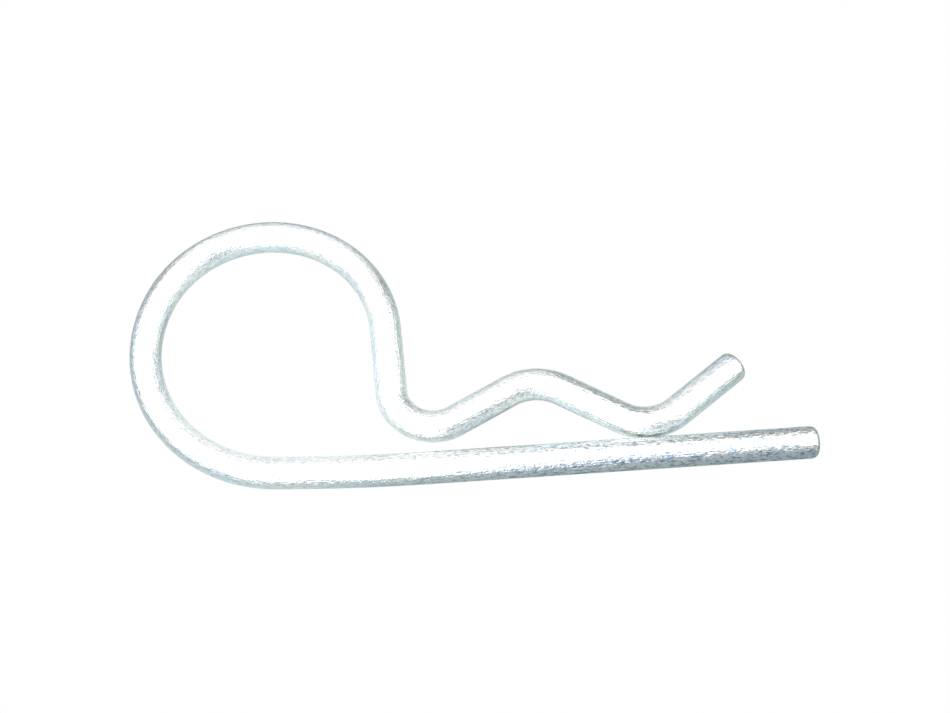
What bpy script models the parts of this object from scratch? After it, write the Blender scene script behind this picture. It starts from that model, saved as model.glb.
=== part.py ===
"""Hairpin cotter pin: one round steel wire, bent flat.

The clip lies on its side. +X runs along the straight leg to its free end, +Y points from
the leg across the wave to the top of the loop, and +Z is up. The wire rests on Z = 0, and
the origin is at the middle of the clip's bounding box, on that surface.

The centreline is a bender's list of straights and bends. Inside radii are those of the
formers that the wire is bent round. The straights between the bends, and the leg's
length, are worked out from the clear heights above the leg and the overall length.
"""

import math

import bpy

MM = 0.001

# The wire
WIRE_DIAMETER = 4.5 * MM
END_ROUNDING = 1.0 * MM

# The clip over all, from the free end of the leg to the back of the loop
OVERALL_LENGTH = 95.25 * MM

# The loop: a slight lift of the leg, then two formers that bend the wire back over it
FOOT_INSIDE_RADIUS = 300.0 * MM
FOOT_TURN = 4.0
BACK_INSIDE_RADIUS = 17.1 * MM
BACK_TURN = 114.0
CROWN_INSIDE_RADIUS = 14.7 * MM

# The drop: the straight run from the loop down to the leg, as an angle from the leg
DROP_ANGLE = 88.0

# The heel: the bend that stands clear of the leg, next to the loop
HEEL_INSIDE_RADIUS = 3.65 * MM
HEEL_CLEARANCE = 1.6 * MM
RISE_ANGLE = 26.8

# The seat: the arch that closes over the shaft, with its clear height above the leg
SEAT_INSIDE_RADIUS = 5.5 * MM
SEAT_HEIGHT = 7.05 * MM
FALL_ANGLE = 31.5

# The grip: the bend that presses on the leg, drawn just short of touching it
GRIP_INSIDE_RADIUS = 4.85 * MM
GRIP_CLEARANCE = 0.1 * MM

# The tip: the free end that leads the shaft in
TIP_ANGLE = 35.8
TIP_LENGTH = 11.6 * MM

# Fineness of the solid
SIDES = 24
BEND_STEP = 5.0
LONGEST_CHORD = 4.0 * MM
END_ROUNDING_STEPS = 5
WELD_DISTANCE = 0.001 * MM

WIRE_RADIUS = WIRE_DIAMETER / 2


def clear_scene():
    """Removes every object that the file already holds."""
    for old in list(bpy.data.objects):
        bpy.data.objects.remove(old, do_unlink=True)


def bend(inside_radius, from_heading, to_heading):
    """A bend, as its centreline radius and the headings that it joins, in degrees."""
    return ("bend", inside_radius + WIRE_RADIUS, from_heading, to_heading)


def straight(length, heading):
    """A straight run of a length, at a heading in degrees."""
    return ("straight", length, heading, heading)


def climb(piece):
    """How far a straight or a bend carries the wire in +Y."""
    kind, size, start, end = piece
    if kind == "straight":
        return size * math.sin(math.radians(start))
    turn_sign = math.copysign(1, end - start)
    return turn_sign * size * (math.cos(math.radians(start)) - math.cos(math.radians(end)))


def straight_to_climb(height, heading):
    """The straight run that climbs a height at a heading."""
    return straight(height / math.sin(math.radians(heading)), heading)


def loop_pieces():
    """The loop, from the end of the leg, heading 180, clockwise to the start of the drop."""
    foot_end = 180.0 - FOOT_TURN
    back_end = foot_end - BACK_TURN
    return [
        bend(FOOT_INSIDE_RADIUS, 180.0, foot_end),
        bend(BACK_INSIDE_RADIUS, foot_end, back_end),
        bend(CROWN_INSIDE_RADIUS, back_end, -DROP_ANGLE),
    ]


def arm_pieces(loop_height):
    """The spring arm, from the end of the loop, at its height above the leg, to the tip."""
    heel_low = WIRE_DIAMETER + HEEL_CLEARANCE
    seat_high = WIRE_DIAMETER + SEAT_HEIGHT
    grip_low = WIRE_DIAMETER + GRIP_CLEARANCE
    heel_down = bend(HEEL_INSIDE_RADIUS, -DROP_ANGLE, 0.0)
    heel_up = bend(HEEL_INSIDE_RADIUS, 0.0, RISE_ANGLE)
    seat_up = bend(SEAT_INSIDE_RADIUS, RISE_ANGLE, 0.0)
    seat_down = bend(SEAT_INSIDE_RADIUS, 0.0, -FALL_ANGLE)
    grip_down = bend(GRIP_INSIDE_RADIUS, -FALL_ANGLE, 0.0)
    grip_up = bend(GRIP_INSIDE_RADIUS, 0.0, TIP_ANGLE)
    drop_climb = heel_low - loop_height - climb(heel_down)
    rise_climb = seat_high - heel_low - climb(heel_up) - climb(seat_up)
    fall_climb = grip_low - seat_high - climb(seat_down) - climb(grip_down)
    return [
        straight_to_climb(drop_climb, -DROP_ANGLE),
        heel_down,
        heel_up,
        straight_to_climb(rise_climb, RISE_ANGLE),
        seat_up,
        seat_down,
        straight_to_climb(fall_climb, -FALL_ANGLE),
        grip_down,
        grip_up,
        straight(TIP_LENGTH, TIP_ANGLE),
    ]


def walk(pieces):
    """The centreline's points through the pieces, from (0, 0), with one at every joint."""
    x, y = 0.0, 0.0
    points = [(x, y)]
    for kind, size, start, end in pieces:
        if kind == "straight":
            x += size * math.cos(math.radians(start))
            y += size * math.sin(math.radians(start))
            points.append((x, y))
            continue
        turn_sign = math.copysign(1, end - start)
        centre_x = x - turn_sign * size * math.sin(math.radians(start))
        centre_y = y + turn_sign * size * math.cos(math.radians(start))
        arc_length = size * math.radians(abs(end - start))
        steps = math.ceil(max(abs(end - start) / BEND_STEP, arc_length / LONGEST_CHORD))
        for step in range(1, steps + 1):
            heading = math.radians(start + (end - start) * step / steps)
            x = centre_x + turn_sign * size * math.sin(heading)
            y = centre_y - turn_sign * size * math.cos(heading)
            points.append((x, y))
    return points


def centreline():
    """The whole wire's centreline, from the leg's free end to the tip, about the origin."""
    loop = loop_pieces()
    loop_height = sum(climb(piece) for piece in loop)
    bent = walk(loop + arm_pieces(loop_height))
    loop_back = min(x for x, y in bent) - WIRE_RADIUS
    leg_end = loop_back + OVERALL_LENGTH
    points = [(leg_end, 0.0)] + bent
    middle_x = leg_end - OVERALL_LENGTH / 2
    middle_y = (min(y for x, y in points) + max(y for x, y in points)) / 2
    return [(x - middle_x, y - middle_y, WIRE_RADIUS) for x, y in points]


def rounded_end(cut, neighbour):
    """The wire's centres and radii over a rounded cut end, from its flat face inwards."""
    reach = math.dist(cut, neighbour)
    inwards = [(b - a) / reach for a, b in zip(cut, neighbour)]
    stations = []
    for step in range(END_ROUNDING_STEPS + 1):
        angle = math.radians(90 * step / END_ROUNDING_STEPS)
        depth = END_ROUNDING * (1 - math.cos(angle))
        radius = WIRE_RADIUS - END_ROUNDING * (1 - math.sin(angle))
        centre = [a + depth * d for a, d in zip(cut, inwards)]
        stations.append((centre, radius))
    return stations


def wire_stations():
    """The whole wire as a row of centres and radii, from one rounded end to the other."""
    points = centreline()
    leg_end = rounded_end(points[0], points[1])
    tip_end = rounded_end(points[-1], points[-2])
    middle = [(point, WIRE_RADIUS) for point in points[1:-1]]
    return leg_end + middle + tip_end[::-1]


def zinc_plate():
    """Bright zinc plate on steel wire, a light blue-white."""
    material = bpy.data.materials.new("zinc_plate")
    material.use_nodes = True
    shader = material.node_tree.nodes["Principled BSDF"]
    shader.inputs["Base Color"].default_value = (0.78, 0.80, 0.81, 1.0)
    shader.inputs["Metallic"].default_value = 1.0
    shader.inputs["Roughness"].default_value = 0.3
    return material


def hairpin_wire(collection):
    """The wire, as a round tube along its centreline, closed by its two cut faces."""
    stations = wire_stations()
    curve = bpy.data.curves.new("hairpin_cotter", "CURVE")
    curve.dimensions = "3D"
    curve.twist_mode = "Z_UP"
    curve.bevel_depth = WIRE_RADIUS
    curve.bevel_resolution = (SIDES - 4) // 2
    curve.use_fill_caps = True
    spline = curve.splines.new("POLY")
    spline.points.add(len(stations) - 1)
    for point, (centre, radius) in zip(spline.points, stations):
        point.co = (*centre, 1.0)
        point.radius = radius / WIRE_RADIUS
    spline.use_smooth = True
    curve.materials.append(zinc_plate())
    wire = bpy.data.objects.new("hairpin_cotter", curve)
    collection.objects.link(wire)
    weld = wire.modifiers.new("close_ends", "WELD")
    weld.merge_threshold = WELD_DISTANCE


def main():
    clear_scene()
    collection = bpy.data.collections.new("hairpin_cotter_pin")
    bpy.context.scene.collection.children.link(collection)
    hairpin_wire(collection)


main()
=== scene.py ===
"""Hairpin cotter pin, bent from one round wire and plated with bright zinc.

Laid out as an add-on: property groups hold the sizes, the finish and the stage, and one
operator each bends the wire and sets the stage. Run as a script, it models the wire in
place of its plain CAD solid. Lengths are in metres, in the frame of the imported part.
"""

import math

import bpy
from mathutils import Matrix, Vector


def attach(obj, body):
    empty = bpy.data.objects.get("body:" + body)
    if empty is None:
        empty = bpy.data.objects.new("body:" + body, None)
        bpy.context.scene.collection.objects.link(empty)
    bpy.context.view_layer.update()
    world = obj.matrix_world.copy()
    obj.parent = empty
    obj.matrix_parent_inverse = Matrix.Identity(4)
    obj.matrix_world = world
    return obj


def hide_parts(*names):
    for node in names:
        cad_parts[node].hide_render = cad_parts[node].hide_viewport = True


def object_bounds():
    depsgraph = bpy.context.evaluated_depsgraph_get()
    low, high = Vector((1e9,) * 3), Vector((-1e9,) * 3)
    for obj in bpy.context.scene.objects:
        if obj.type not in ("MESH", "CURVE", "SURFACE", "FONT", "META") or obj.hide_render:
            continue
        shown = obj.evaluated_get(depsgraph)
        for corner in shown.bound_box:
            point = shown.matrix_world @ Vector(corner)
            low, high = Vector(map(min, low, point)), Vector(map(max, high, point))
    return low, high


bl_info = {
    "name": "Hairpin Cotter Pin",
    "version": (1, 0, 0),
    "blender": (4, 5, 0),
    "location": "3D View > Sidebar > Hairpin",
    "description": "Bends a zinc-plated hairpin cotter pin from round wire and lights it",
    "category": "Object",
}

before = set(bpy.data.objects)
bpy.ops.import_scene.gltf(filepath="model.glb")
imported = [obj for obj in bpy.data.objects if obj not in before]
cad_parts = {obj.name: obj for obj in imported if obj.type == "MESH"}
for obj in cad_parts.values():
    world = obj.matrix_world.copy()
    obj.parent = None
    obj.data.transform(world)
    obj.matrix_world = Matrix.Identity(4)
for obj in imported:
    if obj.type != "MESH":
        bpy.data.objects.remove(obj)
CAD_LOW, CAD_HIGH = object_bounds()

MM = 0.001
CAD_NODE = "hairpin_cotter"
BODY = "root"

# Points of the wire that are closer than this count as one
TOUCHING = 0.001 * MM

# Attributes of the wire: where each point was before the wire was bent, and how far it is
# from the nearest cut end
DRAWN_PLACE = "drawn_place"
FROM_CUT = "from_cut"

# The noise at which each part of the finish starts to show, and at which it shows in full
CAST_NOISE = (0.45, 0.65)
STRAW_NOISE = (0.60, 0.45)
SPECK_NOISE = (0.42, 0.62)
DEEP_SPECK_NOISE = (0.54, 0.60)

# The noise at which the crystals are glossiest and dullest, and the shares of the set
# roughness that they have there
GLOSS_NOISE = (0.3, 0.7)
GLOSSIEST = 0.8
DULLEST = 1.3

# The wire's own relief starts at the first distance from a flat cut face and is full at the
# second, where the shear lines end. The cut face keeps this share of the crystals' relief.
CUT_EDGE = (0.01 * MM, 0.06 * MM)
CRYSTALS_ON_CUT = 0.15

# Ovals on the floor, as reflections show them: centre, reach along and across, and turn in
# degrees. Each is full within the core's share of its reach.
LIT_SPOTS = (
    (-25 * MM, -5 * MM, 37.5 * MM, 37.5 * MM, 0),
    (6.5 * MM, -11.5 * MM, 49 * MM, 19.5 * MM, 0),
)
SHADED_SPOTS = (
    (20 * MM, -22.5 * MM, 62 * MM, 4 * MM, 0),
    (-38 * MM, 4 * MM, 5 * MM, 7 * MM, 0),
    (4.8 * MM, -12.8 * MM, 12 * MM, 2.8 * MM, 26.8),
    (13.2 * MM, -11.8 * MM, 9 * MM, 1.1 * MM, -31.5),
)
SPOT_CORE = 0.2

# Softboxes before and behind the clip: centre, width and height
FRONT_SOFTBOX = ((-35 * MM, -130 * MM, 84 * MM), 74 * MM, 96 * MM)
BACKLIGHT = ((0 * MM, 130 * MM, 65 * MM), 220 * MM, 130 * MM)

# Cards before and behind the free ends: left end, right end, place along Y, and height
FRONT_CARD = (1 * MM, 150 * MM, -130 * MM, 145 * MM)
BACK_CARD = (34 * MM, 74 * MM, 80 * MM, 120 * MM)

# Where a card's colour starts to change along X, and where it has changed
FRONT_CARD_DARKENS = (-20 * MM, 30 * MM)
FRONT_CARD_YELLOWS = (80 * MM, 120 * MM)
BACK_CARD_DARKENS = (25 * MM, 45 * MM)

# Dimmer gaps in the light tent: direction, and the angles from it, in degrees, within which
# the gap is full and beyond which it is gone
FRONT_GAP = ((0.317, -0.871, 0.375), 5, 40)
BACK_GAP = ((-0.06, 0.994, 0.091), 38, 57)

# Where the tent turns from its left colours to its right ones, and from its foot to
# overhead, as the X and the Z of a direction of length one
TENT_ACROSS = (-0.5, 0.5)
TENT_UP = (0.01, 0.55)

# Width of the camera's sensor, in millimetres
SENSOR_WIDTH = 36.0


def length(name, description, default):
    """A length property, in metres."""
    return bpy.props.FloatProperty(
        name=name, description=description, default=default, min=0.0, unit="LENGTH", precision=5
    )


def angle(name, description, degrees):
    """An angle property, given in degrees."""
    return bpy.props.FloatProperty(
        name=name, description=description, default=math.radians(degrees), subtype="ANGLE"
    )


def amount(name, description, default):
    """A plain number."""
    return bpy.props.FloatProperty(name=name, description=description, default=default, min=0.0)


def count(name, description, default):
    """A whole number of faces or steps."""
    return bpy.props.IntProperty(
        name=name, description=description, default=default, min=3, max=128
    )


def colour(name, description, default):
    """A colour property."""
    return bpy.props.FloatVectorProperty(
        name=name, description=description, default=default, size=3, subtype="COLOR", min=0, max=4
    )


class HairpinWireSizes(bpy.types.PropertyGroup):
    """The wire and the formers that it is bent round."""

    wire_diameter: length("Wire Diameter", "Thickness of the round wire", 4.5 * MM)
    end_rounding: length("End Rounding", "Radius round the rim of each cut end", 1.0 * MM)
    overall_length: length(
        "Overall Length", "From the leg's free end to the loop's back", CAD_HIGH.x - CAD_LOW.x
    )
    foot_radius: length("Foot Radius", "Inside radius where the leg starts to lift", 300 * MM)
    foot_turn: angle("Foot Turn", "Turn between the leg and the loop", 4.0)
    back_radius: length("Back Radius", "Inside radius of the loop's lower back half", 17.1 * MM)
    back_turn: angle("Back Turn", "Turn of the loop's lower back half", 114.0)
    crown_radius: length("Crown Radius", "Inside radius of the loop's top", 14.7 * MM)
    drop_angle: angle("Drop Angle", "Run from the loop down to the heel, from the leg", 88.0)
    heel_radius: length("Heel Radius", "Inside radius of the bend next to the loop", 3.65 * MM)
    heel_clearance: length("Heel Clearance", "Gap between the heel and the leg", 1.6 * MM)
    rise_angle: angle("Rise Angle", "Run from the heel up to the seat", 26.8)
    seat_radius: length("Seat Radius", "Inside radius of the arch over the shaft", 5.5 * MM)
    seat_height: length("Seat Height", "Clear height under the arch, above the leg", 7.05 * MM)
    fall_angle: angle("Fall Angle", "Run from the seat down to the grip", 31.5)
    grip_radius: length(
        "Grip Radius", "Inside radius of the bend that presses on the leg", 4.85 * MM
    )
    grip_clearance: length("Grip Clearance", "Gap left between the grip and the leg", 0.1 * MM)
    tip_angle: angle("Tip Angle", "Rise of the free end", 35.8)
    tip_length: length("Tip Length", "Straight part of the free end", 11.6 * MM)
    sides: count("Sides", "Faces round the wire", 64)
    rim_steps: count("Rim Steps", "Rings over the rounded rim of each cut end", 8)
    ring_spacing: length("Ring Spacing", "Distance between rings along a straight", 1.0 * MM)
    bend_step: angle("Bend Step", "Most that the wire turns from ring to ring", 3.0)
    smooth_angle: angle("Smooth Angle", "Edges that turn less than this are shaded smooth", 35.0)


class HairpinFinish(bpy.types.PropertyGroup):
    """The zinc plate over the drawn wire."""

    zinc: colour("Zinc", "Clean bright plate", (0.85, 0.85, 0.78))
    speck: colour("Speck", "Darker blue specks between the zinc's crystals", (0.60, 0.64, 0.69))
    deep_speck: colour("Deep Speck", "Sparse deeper specks on the leg", (0.34, 0.42, 0.52))
    deep_reach: length("Deep Speck Reach", "How far they run up the leg", 65.0 * MM)
    cast: colour("Cast", "Faint cast of the passivate, in soft patches", (0.76, 0.81, 0.80))
    roughness: amount("Roughness", "Blur of the reflections", 0.28)
    grain_length: length("Grain Length", "Crystals, along the wire", 0.55 * MM)
    grain_width: length("Grain Width", "Crystals, across the wire", 0.28 * MM)
    grain_depth: length("Grain Depth", "Relief of the crystals", 0.1 * MM)
    line_length: length("Line Length", "Drawing lines, along the wire", 5.0 * MM)
    line_width: length("Line Width", "Drawing lines, across the wire", 0.25 * MM)
    line_depth: length("Line Depth", "Relief of the drawing lines", 0.05 * MM)
    speck_length: length("Speck Length", "Blue specks, along the wire", 0.7 * MM)
    speck_width: length("Speck Width", "Blue specks, across the wire", 0.3 * MM)
    patch_length: length("Patch Length", "Soft patches, along the wire", 12.0 * MM)
    patch_width: length("Patch Width", "Soft patches, across the wire", 3.0 * MM)
    straw: colour("Straw", "Yellowish cast of the passivate by the cut ends", (0.88, 0.86, 0.72))
    straw_reach: length("Straw Reach", "How far the yellowish cast runs from an end", 15.0 * MM)
    shear_length: length("Shear Length", "Shear lines on the cut faces, along a line", 3.0 * MM)
    shear_width: length("Shear Width", "Shear lines on the cut faces, across them", 0.14 * MM)
    shear_depth: length("Shear Depth", "Relief of the shear lines", 0.025 * MM)


class HairpinStage(bpy.types.PropertyGroup):
    """The floor, the lights and the camera."""

    view_tilt: angle("View Tilt", "Camera's lean from straight down", 25.9)
    view_turn: angle("View Turn", "Camera's turn about the vertical", -4.1)
    view_distance: length("View Distance", "From the camera to what it looks at", 230.3 * MM)
    view_centre: bpy.props.FloatVectorProperty(
        name="View Centre",
        description="Point that the camera looks at",
        default=(1.27 * MM, -2.55 * MM, 2.25 * MM),
        size=3,
        subtype="TRANSLATION",
    )
    focal_length: amount("Focal Length", "Lens on a 36 mm sensor, in millimetres", 61.48)
    floor_side: length("Floor Side", "Side of the square floor", 6.0)
    floor_white: colour("Floor White", "Plain pale floor and backdrop", (1.0, 1.0, 1.0))
    floor_glow: colour("Floor Glow", "Lit floor round the clip, reflected", (1.10, 1.22, 1.24))
    floor_dim: colour("Floor Dim", "Floor further off, reflected", (0.36, 0.44, 0.46))
    floor_shade: colour("Floor Shade", "Floor close beside the wire, reflected", (0.38, 0.44, 0.46))
    tent_left: colour("Tent Left", "Light tent overhead, on the loop's side", (2.9, 2.9, 2.9))
    tent_right: colour("Tent Right", "Light tent overhead, on the ends' side", (2.3, 2.3, 2.3))
    foot_left: colour("Foot Left", "Foot of the tent, on the loop's side", (0.52, 0.66, 0.86))
    foot_right: colour("Foot Right", "Foot of the tent, on the ends' side", (0.50, 0.62, 0.58))
    gap_front: colour("Gap Front", "Dark gap in the tent before the clip", (0.22, 0.26, 0.34))
    gap_back: colour("Gap Back", "Dimmer part of the tent behind the clip", (0.46, 0.45, 0.47))
    softbox_glow: amount("Softbox Glow", "Brightness of the softbox before the loop", 3.4)
    card_left: colour("Card Left", "Light end of the front card", (0.75, 0.80, 0.85))
    card_right: colour("Card Right", "Dark part of the front card", (0.42, 0.47, 0.57))
    card_end: colour("Card End", "Yellowish right end of the front card", (0.50, 0.51, 0.38))
    back_card: colour("Back Card", "Card behind the leg's free end", (0.37, 0.38, 0.38))
    backlight_glow: amount("Backlight Glow", "Brightness of the softbox behind the clip", 0.72)


def direction(heading):
    """The unit vector at a heading in the clip's plane."""
    return Vector((math.cos(heading), math.sin(heading), 0.0))


def bends_and_straights(sizes):
    """The wire's runs from the leg's free end to the tip.

    A run is a kind, the length of a straight or the radius of a bend's centreline, and the
    headings at its start and its end.
    """
    wire_radius = sizes.wire_diameter / 2
    back_radius = sizes.back_radius + wire_radius
    foot_radius = sizes.foot_radius + wire_radius
    crown_radius = sizes.crown_radius + wire_radius
    heel_radius = sizes.heel_radius + wire_radius
    seat_radius = sizes.seat_radius + wire_radius
    grip_radius = sizes.grip_radius + wire_radius
    foot_end = math.pi - sizes.foot_turn
    back_end = foot_end - sizes.back_turn
    drop = -sizes.drop_angle
    rise = sizes.rise_angle
    fall = -sizes.fall_angle
    tip = sizes.tip_angle

    loop_reach = (foot_radius - back_radius) * math.sin(sizes.foot_turn) + back_radius + wire_radius
    loop = [
        ("bend", foot_radius, math.pi, foot_end),
        ("bend", back_radius, foot_end, back_end),
        ("bend", crown_radius, back_end, drop),
    ]
    heel_low = sizes.wire_diameter + sizes.heel_clearance
    seat_high = sizes.wire_diameter + sizes.seat_height
    grip_low = sizes.wire_diameter + sizes.grip_clearance
    loop_end = sum(climb(run) for run in loop)
    heel = [("bend", heel_radius, drop, 0.0), ("bend", heel_radius, 0.0, rise)]
    seat = [("bend", seat_radius, rise, 0.0), ("bend", seat_radius, 0.0, fall)]
    grip = [("bend", grip_radius, fall, 0.0), ("bend", grip_radius, 0.0, tip)]
    return [
        ("straight", sizes.overall_length - loop_reach, math.pi, math.pi),
        *loop,
        straight_to_climb(heel_low - loop_end - climb(heel[0]), drop),
        *heel,
        straight_to_climb(seat_high - heel_low - climb(heel[1]) - climb(seat[0]), rise),
        *seat,
        straight_to_climb(grip_low - seat_high - climb(seat[1]) - climb(grip[0]), fall),
        *grip,
        ("straight", sizes.tip_length, tip, tip),
    ]


def climb(run):
    """How far a straight or a bend carries the wire away from the leg."""
    kind, size, start, end = run
    if kind == "straight":
        return size * math.sin(start)
    return math.copysign(size, end - start) * (math.cos(start) - math.cos(end))


def straight_to_climb(height, heading):
    """The straight run that climbs a height at a heading."""
    return ("straight", height / math.sin(heading), heading, heading)


def shortened(run, cut):
    """A straight run with a length taken off it for its rounded end."""
    kind, size, start, end = run
    return (kind, size - cut, start, end)


def wire_start(sizes):
    """The middle of the leg's cut face, where the wire starts."""
    wire_radius = sizes.wire_diameter / 2
    return Vector((CAD_HIGH.x, CAD_LOW.y + wire_radius, CAD_LOW.z + wire_radius))


def bend_centre(run, place):
    """The centre of a bend that starts at a place, and 1 where it turns left or -1 for right."""
    _, size, start, end = run
    turn_sign = math.copysign(1, end - start)
    to_left = Vector((-math.sin(start), math.cos(start), 0.0))
    return place + to_left * size * turn_sign, turn_sign


def run_end(run, place):
    """Where a straight or a bend that starts at a place ends."""
    kind, size, start, end = run
    if kind == "straight":
        return place + direction(start) * size
    centre, turn_sign = bend_centre(run, place)
    return centre + direction(end - turn_sign * math.pi / 2) * size


def run_length(run):
    """How much wire a straight or a bend takes, along its centreline."""
    kind, size, start, end = run
    return size if kind == "straight" else size * abs(end - start)


def extrude_ring(step):
    """Carries the selected cut face along by a step."""
    bpy.ops.mesh.extrude_region_move(TRANSFORM_OT_translate={"value": step})


def round_rim(place, heading, sizes, opening):
    """Rounds the rim of a cut end, outwards from its flat face or in towards the last one."""
    steps = sizes.rim_steps
    wire_radius = sizes.wire_diameter / 2
    turns = [math.pi / 2 * step / steps for step in range(steps + 1)]
    if not opening:
        turns = turns[::-1]
    for before, after in zip(turns, turns[1:]):
        depth = abs(math.cos(before) - math.cos(after)) * sizes.end_rounding
        old_radius = wire_radius - sizes.end_rounding * (1 - math.sin(before))
        new_radius = wire_radius - sizes.end_rounding * (1 - math.sin(after))
        extrude_ring(direction(heading) * depth)
        place = place + direction(heading) * depth
        widening = new_radius / old_radius
        bpy.ops.transform.resize(value=(widening,) * 3, center_override=place)
    return place


def run_wire(run, place, sizes):
    """Extrudes or spins the selected cut face along one run, and says where it ends."""
    kind, size, start, end = run
    if kind == "straight":
        steps = max(1, math.ceil(size / sizes.ring_spacing))
        for _ in range(steps):
            extrude_ring(direction(start) * size / steps)
    else:
        # Rings in a bend are at most a bend step of turn and two ring spacings of wire apart
        steps_by_turn = abs(end - start) / sizes.bend_step
        steps_by_length = run_length(run) / (2 * sizes.ring_spacing)
        bpy.ops.mesh.spin(
            steps=math.ceil(max(steps_by_turn, steps_by_length)),
            angle=start - end,
            center=bend_centre(run, place)[0],
            axis=(0, 0, 1),
        )
    return run_end(run, place)


def model_wire(sizes):
    """Models the wire from the leg's cut face to the tip's, as one closed mesh."""
    place = wire_start(sizes)
    bpy.ops.object.select_all(action="DESELECT")
    bpy.ops.mesh.primitive_circle_add(
        vertices=sizes.sides,
        radius=sizes.wire_diameter / 2 - sizes.end_rounding,
        fill_type="NGON",
        location=place,
        rotation=(0, math.pi / 2, 0),
    )
    wire = bpy.context.object
    wire.name = wire.data.name = "bent_wire"
    runs = bends_and_straights(sizes)
    runs[0] = shortened(runs[0], sizes.end_rounding)
    runs[-1] = shortened(runs[-1], sizes.end_rounding)

    bpy.ops.object.mode_set(mode="EDIT")
    place = round_rim(place, math.pi, sizes, opening=True)
    for run in runs:
        place = run_wire(run, place, sizes)
    round_rim(place, sizes.tip_angle, sizes, opening=False)
    bpy.ops.mesh.select_all(action="SELECT")
    bpy.ops.mesh.remove_doubles(threshold=TOUCHING)
    bpy.ops.mesh.normals_make_consistent(inside=False)
    bpy.ops.object.mode_set(mode="OBJECT")
    bpy.ops.object.transform_apply(location=True, rotation=True, scale=True)
    bpy.ops.object.shade_smooth_by_angle(angle=sizes.smooth_angle)
    return wire


def placed_runs(sizes):
    """Each run with where it starts and how much wire comes before it."""
    place = wire_start(sizes)
    drawn = 0.0
    placed = []
    for run in bends_and_straights(sizes):
        placed.append((run, place, drawn))
        place = run_end(run, place)
        drawn += run_length(run)
    return placed


def drawn_place(point, run, place, drawn):
    """Where a point was on the straight wire: along it, across it and above its middle.

    The run starts at a place, with so much drawn wire before it. Gives None where the point
    lies past either end of the run.
    """
    kind, size, start, end = run
    height = point.z - place.z
    if kind == "straight":
        offset = point - place
        along = offset.dot(direction(start))
        across = offset.dot(direction(start + math.pi / 2))
        if not -TOUCHING <= along <= size + TOUCHING:
            return None
        return Vector((drawn + along, across, height))
    centre, turn_sign = bend_centre(run, place)
    arm = point - centre
    heading = math.atan2(arm.y, arm.x) + turn_sign * math.pi / 2
    turned = (heading - start) * turn_sign
    touching_angle = TOUCHING / size
    while turned < -touching_angle:
        turned += 2 * math.pi
    while turned > 2 * math.pi - touching_angle:
        turned -= 2 * math.pi
    if turned > abs(end - start) + touching_angle:
        return None
    across = turn_sign * (size - math.hypot(arm.x, arm.y))
    return Vector((drawn + turned * size, across, height))


def keep_drawn_places(wire, sizes):
    """Writes where each point was on the straight wire, and how far it is from a cut end.

    The finish reads both, so that it follows every bend and changes at the cut faces.
    """
    runs = placed_runs(sizes)
    places = []
    for vertex in wire.data.vertices:
        found = [drawn_place(vertex.co, *placed) for placed in runs]
        found = [place for place in found if place is not None]
        nearest = min(found, key=lambda place: math.hypot(place.y, place.z))
        places.extend(nearest)
    drawn_places = wire.data.attributes.new(DRAWN_PLACE, "FLOAT_VECTOR", "POINT")
    drawn_places.data.foreach_set("vector", places)
    drawn = places[::3]
    wire_length = max(drawn)
    from_cut = wire.data.attributes.new(FROM_CUT, "FLOAT", "POINT")
    from_cut.data.foreach_set("value", [min(along, wire_length - along) for along in drawn])


def kept(tree, name, output):
    """What an attribute of the wire says at each point."""
    attribute = tree.nodes.new("ShaderNodeAttribute")
    attribute.attribute_name = name
    return attribute.outputs[output]


def wire_noise(tree, place, grain, detail):
    """Noise with grains of a size along the wire, across it and above its middle."""
    stretch = tree.nodes.new("ShaderNodeMapping")
    stretch.inputs["Scale"].default_value = [1 / size for size in grain]
    noise = tree.nodes.new("ShaderNodeTexNoise")
    noise.inputs["Scale"].default_value = 1.0
    noise.inputs["Detail"].default_value = detail
    tree.links.new(place, stretch.inputs["Vector"])
    tree.links.new(stretch.outputs["Vector"], noise.inputs["Vector"])
    return noise.outputs["Fac"]


def spread(tree, value, low, high, to_low=0.0, to_high=1.0):
    """Spreads the part of a value from low to high over another range."""
    node = tree.nodes.new("ShaderNodeMapRange")
    node.inputs["From Min"].default_value = low
    node.inputs["From Max"].default_value = high
    node.inputs["To Min"].default_value = to_low
    node.inputs["To Max"].default_value = to_high
    tree.links.new(value, node.inputs["Value"])
    return node.outputs["Result"]


def mixed(tree, share, first, second):
    """A mix of two colours, each a colour or another node's output."""
    node = tree.nodes.new("ShaderNodeMix")
    node.data_type = "RGBA"
    tree.links.new(share, node.inputs["Factor"])
    for name, tone in (("A", first), ("B", second)):
        if isinstance(tone, bpy.types.NodeSocket):
            tree.links.new(tone, node.inputs[name])
        else:
            node.inputs[name].default_value = (*tone, 1.0)
    return node.outputs["Result"]


def combined(tree, operation, first, second):
    """Two values put together by a math operation."""
    node = tree.nodes.new("ShaderNodeMath")
    node.operation = operation
    tree.links.new(first, node.inputs[0])
    tree.links.new(second, node.inputs[1])
    return node.outputs["Value"]


def split(tree, vector):
    """A vector's X, Y and Z."""
    node = tree.nodes.new("ShaderNodeSeparateXYZ")
    tree.links.new(vector, node.inputs["Vector"])
    return node.outputs


def relief(tree, height, depth, strength, normal=None):
    """A bump of a given depth and strength, over another bump where one is given."""
    node = tree.nodes.new("ShaderNodeBump")
    node.inputs["Distance"].default_value = depth
    tree.links.new(height, node.inputs["Height"])
    tree.links.new(strength, node.inputs["Strength"])
    if normal is not None:
        tree.links.new(normal, node.inputs["Normal"])
    return node.outputs["Normal"]


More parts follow.
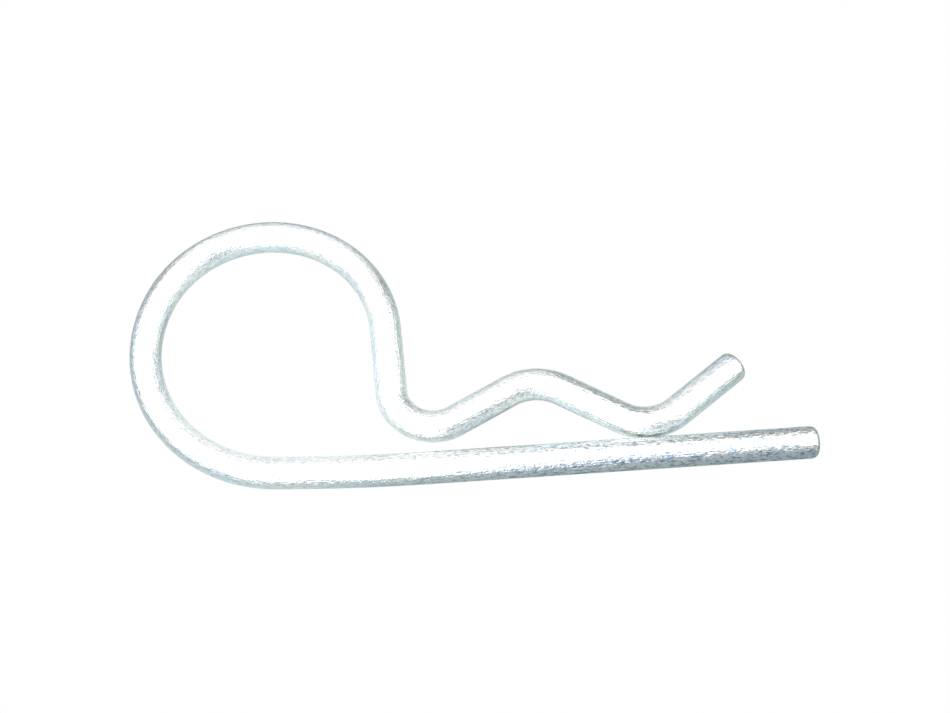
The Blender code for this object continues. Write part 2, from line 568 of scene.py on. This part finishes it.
def plate_colour(tree, finish, place, from_cut, specks, patches):
    """The zinc's colour: a faint cast in patches, straw by the cut ends, and blue specks."""
    plate = mixed(tree, spread(tree, patches, *CAST_NOISE), finish.zinc, finish.cast)

    straw_full = finish.straw_reach / 5
    near_cut = spread(tree, from_cut, finish.straw_reach, straw_full)
    straw = combined(tree, "MULTIPLY", near_cut, spread(tree, patches, *STRAW_NOISE))
    plate = mixed(tree, straw, plate, finish.straw)

    plate = mixed(tree, spread(tree, specks, *SPECK_NOISE), plate, finish.speck)
    deep_full = finish.deep_reach / 2
    on_leg = spread(tree, split(tree, place)["X"], finish.deep_reach, deep_full)
    deep = combined(tree, "MULTIPLY", on_leg, spread(tree, specks, *DEEP_SPECK_NOISE))
    return mixed(tree, deep, plate, finish.deep_speck)


def zinc_material(finish):
    """Bright zinc plate over drawn wire: crystals and drawing lines, with sheared cut faces."""
    material = bpy.data.materials.new("zinc_plate")
    material.use_nodes = True
    tree = material.node_tree
    shader = tree.nodes["Principled BSDF"]
    shader.inputs["Metallic"].default_value = 1.0
    place = kept(tree, DRAWN_PLACE, "Vector")
    from_cut = kept(tree, FROM_CUT, "Fac")

    def drawn_out(along, across, detail):
        """Noise that is drawn out along the wire."""
        return wire_noise(tree, place, (along, across, across), detail)

    grain = drawn_out(finish.grain_length, finish.grain_width, detail=3.0)
    lines = drawn_out(finish.line_length, finish.line_width, detail=1.0)
    specks = drawn_out(finish.speck_length, finish.speck_width, detail=3.0)
    patches = drawn_out(finish.patch_length, finish.patch_width, detail=2.0)
    shear_grain = (1 * MM, finish.shear_width, finish.shear_length)
    shear = wire_noise(tree, place, shear_grain, detail=2.0)

    plate = plate_colour(tree, finish, place, from_cut, specks, patches)
    tree.links.new(plate, shader.inputs["Base Color"])

    glossy = finish.roughness * GLOSSIEST
    dull = finish.roughness * DULLEST
    tree.links.new(spread(tree, grain, *GLOSS_NOISE, glossy, dull), shader.inputs["Roughness"])

    on_wire = spread(tree, from_cut, *CUT_EDGE)
    on_cut = spread(tree, from_cut, *CUT_EDGE, 1.0, 0.0)
    grain_share = spread(tree, on_wire, 0.0, 1.0, CRYSTALS_ON_CUT, 1.0)
    normal = relief(tree, lines, finish.line_depth, on_wire)
    normal = relief(tree, grain, finish.grain_depth, grain_share, normal)
    normal = relief(tree, shear, finish.shear_depth, on_cut, normal)
    tree.links.new(normal, shader.inputs["Normal"])
    return material


def seen_or_reflected(tree, seen, reflected, output):
    """Shows one shader to the camera and the other in reflections."""
    kind = tree.nodes.new("ShaderNodeLightPath")
    either = tree.nodes.new("ShaderNodeMixShader")
    tree.links.new(kind.outputs["Is Camera Ray"], either.inputs["Fac"])
    tree.links.new(reflected, either.inputs[1])
    tree.links.new(seen, either.inputs[2])
    tree.links.new(either.outputs["Shader"], output.inputs["Surface"])


def stage_material(name):
    """A new material for the stage, and its nodes without the shader that they start with."""
    material = bpy.data.materials.new(name)
    material.use_nodes = True
    tree = material.node_tree
    tree.nodes.remove(tree.nodes["Principled BSDF"])
    return material, tree


def soft_spots(tree, ground, spots):
    """Soft-edged ovals on the floor, 1 inside and 0 outside."""
    highest = None
    for centre_x, centre_y, reach_x, reach_y, turn in spots:
        oval = tree.nodes.new("ShaderNodeMapping")
        oval.vector_type = "TEXTURE"
        oval.inputs["Location"].default_value = (centre_x, centre_y, 0)
        oval.inputs["Rotation"].default_value = (0, 0, math.radians(turn))
        oval.inputs["Scale"].default_value = (reach_x, reach_y, 1)
        radius = tree.nodes.new("ShaderNodeVectorMath")
        radius.operation = "LENGTH"
        tree.links.new(ground, oval.inputs["Vector"])
        tree.links.new(oval.outputs["Vector"], radius.inputs[0])
        spot = spread(tree, radius.outputs["Value"], 1.0, SPOT_CORE)
        highest = spot if highest is None else combined(tree, "MAXIMUM", highest, spot)
    return highest


def floor_material(stage):
    """A plain pale floor, evenly white to the eye and dimmer away from the clip in reflections."""
    material, tree = stage_material("pale_floor")
    ground = tree.nodes.new("ShaderNodeTexCoord").outputs["Object"]
    lit = soft_spots(tree, ground, LIT_SPOTS)
    shaded = soft_spots(tree, ground, SHADED_SPOTS)
    shade = mixed(tree, lit, stage.floor_dim, stage.floor_glow)
    glow = tree.nodes.new("ShaderNodeEmission")
    tree.links.new(mixed(tree, shaded, shade, stage.floor_shade), glow.inputs["Color"])
    white = tree.nodes.new("ShaderNodeEmission")
    white.inputs["Color"].default_value = (*stage.floor_white, 1.0)
    output = tree.nodes["Material Output"]
    seen_or_reflected(tree, white.outputs["Emission"], glow.outputs["Emission"], output)
    return material


def add_floor(stage):
    """The plain pale floor that the clip lies on."""
    bpy.ops.object.select_all(action="DESELECT")
    bpy.ops.mesh.primitive_plane_add(size=stage.floor_side, location=(0, 0, CAD_LOW.z))
    floor = bpy.context.object
    floor.name = "floor"
    floor.data.materials.append(floor_material(stage))


def add_softbox(name, centre, width, height, glow):
    """A softbox standing upright before or behind the clip, and facing it."""
    light = bpy.data.lights.new(name, "AREA")
    light.shape = "RECTANGLE"
    light.size = width
    light.size_y = height
    # The energy that makes the softbox's face glow as brightly as it should, whatever its size
    light.energy = glow * math.pi * width * height
    softbox = bpy.data.objects.new(name, light)
    bpy.context.scene.collection.objects.link(softbox)
    softbox.location = centre
    softbox.rotation_euler = (math.copysign(math.pi / 2, -centre[1]), 0, 0)
    softbox.visible_camera = False


def glowing_card(name, first, changes):
    """A card's material, which glows in a first colour and changes to others along X."""
    material, tree = stage_material(name)
    place = tree.nodes.new("ShaderNodeTexCoord").outputs["Object"]
    along = split(tree, place)["X"]
    shade = first
    for (low, high), tone in changes:
        shade = mixed(tree, spread(tree, along, low, high), shade, tone)
    glow = tree.nodes.new("ShaderNodeEmission")
    tree.links.new(shade, glow.inputs["Color"])
    tree.links.new(glow.outputs["Emission"], tree.nodes["Material Output"].inputs["Surface"])
    return material


def add_card(name, left, right, away, height, material):
    """A card on edge before or behind the free ends, out of the camera's sight."""
    bpy.ops.object.select_all(action="DESELECT")
    bpy.ops.mesh.primitive_plane_add(
        size=1.0, location=((left + right) / 2, away, height / 2), rotation=(math.pi / 2, 0, 0)
    )
    card = bpy.context.object
    card.name = name
    card.scale = (right - left, height, 1.0)
    bpy.ops.object.transform_apply(location=True, rotation=True, scale=True)
    card.data.materials.append(material)
    card.visible_camera = False


def add_cards(stage):
    """The cards before and behind the free ends."""
    front_changes = (
        (FRONT_CARD_DARKENS, stage.card_right),
        (FRONT_CARD_YELLOWS, stage.card_end),
    )
    back_changes = ((BACK_CARD_DARKENS, stage.back_card),)
    front = glowing_card("front_card", stage.card_left, front_changes)
    back = glowing_card("back_card", stage.gap_back, back_changes)
    add_card("front_card", *FRONT_CARD, front)
    add_card("back_card", *BACK_CARD, back)


def gap_share(tree, ray, heading, inside, outside):
    """1 within an angle of a direction of the tent and 0 beyond another, with a soft edge."""
    near = tree.nodes.new("ShaderNodeVectorMath")
    near.operation = "DOT_PRODUCT"
    near.inputs[1].default_value = heading
    tree.links.new(ray, near.inputs[0])
    gone = math.cos(math.radians(outside))
    full = math.cos(math.radians(inside))
    return spread(tree, near.outputs["Value"], gone, full)


def add_tent(stage):
    """The light tent: bright overhead, dimmer at its foot and in a gap before and behind."""
    world = bpy.data.worlds.new("light_tent")
    world.use_nodes = True
    tree = world.node_tree
    ray = tree.nodes.new("ShaderNodeTexCoord").outputs["Generated"]
    parts = split(tree, ray)
    side = spread(tree, parts["X"], *TENT_ACROSS)
    overhead = mixed(tree, side, stage.tent_left, stage.tent_right)
    foot = mixed(tree, side, stage.foot_left, stage.foot_right)
    tent = mixed(tree, spread(tree, parts["Z"], *TENT_UP), foot, overhead)
    tent = mixed(tree, gap_share(tree, ray, *FRONT_GAP), tent, stage.gap_front)
    tent = mixed(tree, gap_share(tree, ray, *BACK_GAP), tent, stage.gap_back)
    background = tree.nodes["Background"]
    tree.links.new(tent, background.inputs["Color"])
    seen = tree.nodes.new("ShaderNodeBackground")
    seen.inputs["Color"].default_value = (*stage.floor_white, 1.0)
    output = tree.nodes["World Output"]
    seen_or_reflected(tree, seen.outputs["Background"], background.outputs["Background"], output)
    bpy.context.scene.world = world


def add_camera(stage):
    """The camera, leaning back from straight down."""
    lens = bpy.data.cameras.new("camera")
    lens.lens = stage.focal_length
    lens.sensor_width = SENSOR_WIDTH
    camera = bpy.data.objects.new("camera", lens)
    bpy.context.scene.collection.objects.link(camera)
    camera.rotation_euler = (stage.view_tilt, 0.0, stage.view_turn)
    away = camera.rotation_euler.to_matrix() @ Vector((0, 0, 1))
    camera.location = Vector(stage.view_centre) + away * stage.view_distance
    bpy.context.scene.camera = camera


class OBJECT_OT_hairpin_wire(bpy.types.Operator):
    """Bend the hairpin's wire and plate it with zinc"""

    bl_idname = "object.hairpin_wire"
    bl_label = "Bend Hairpin Wire"

    def execute(self, context):
        sizes = context.scene.hairpin_wire_sizes
        wire = model_wire(sizes)
        keep_drawn_places(wire, sizes)
        wire.data.materials.append(zinc_material(context.scene.hairpin_finish))
        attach(wire, BODY)
        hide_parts(CAD_NODE)
        return {"FINISHED"}


class OBJECT_OT_hairpin_stage(bpy.types.Operator):
    """Lay the floor and set the lights and the camera"""

    bl_idname = "object.hairpin_stage"
    bl_label = "Set Hairpin Stage"

    def execute(self, context):
        stage = context.scene.hairpin_stage
        add_floor(stage)
        add_tent(stage)
        add_softbox("softbox", *FRONT_SOFTBOX, stage.softbox_glow)
        add_softbox("backlight", *BACKLIGHT, stage.backlight_glow)
        add_cards(stage)
        add_camera(stage)
        context.scene.view_settings.view_transform = "Standard"
        return {"FINISHED"}


class VIEW3D_PT_hairpin(bpy.types.Panel):
    """Lists the hairpin's operators and settings."""

    bl_label = "Hairpin Cotter Pin"
    bl_space_type = "VIEW_3D"
    bl_region_type = "UI"
    bl_category = "Hairpin"

    def draw(self, context):
        for operator, settings in (
            (OBJECT_OT_hairpin_wire, ("hairpin_wire_sizes", "hairpin_finish")),
            (OBJECT_OT_hairpin_stage, ("hairpin_stage",)),
        ):
            self.layout.operator(operator.bl_idname)
            for group_name in settings:
                group = getattr(context.scene, group_name)
                for name in group.__annotations__:
                    self.layout.prop(group, name)


PROPERTY_GROUPS = {
    "hairpin_wire_sizes": HairpinWireSizes,
    "hairpin_finish": HairpinFinish,
    "hairpin_stage": HairpinStage,
}
CLASSES = (
    *PROPERTY_GROUPS.values(),
    OBJECT_OT_hairpin_wire,
    OBJECT_OT_hairpin_stage,
    VIEW3D_PT_hairpin,
)


def register():
    """Registers the classes and hangs the settings on the scene."""
    for cls in CLASSES:
        bpy.utils.register_class(cls)
    for name, group in PROPERTY_GROUPS.items():
        setattr(bpy.types.Scene, name, bpy.props.PointerProperty(type=group))


def unregister():
    """Takes everything away again."""
    for name in PROPERTY_GROUPS:
        delattr(bpy.types.Scene, name)
    for cls in reversed(CLASSES):
        bpy.utils.unregister_class(cls)


def main():
    """Models the clip and its stage."""
    register()
    bpy.ops.object.hairpin_wire()
    bpy.ops.object.hairpin_stage()


if __name__ == "__main__":
    main()
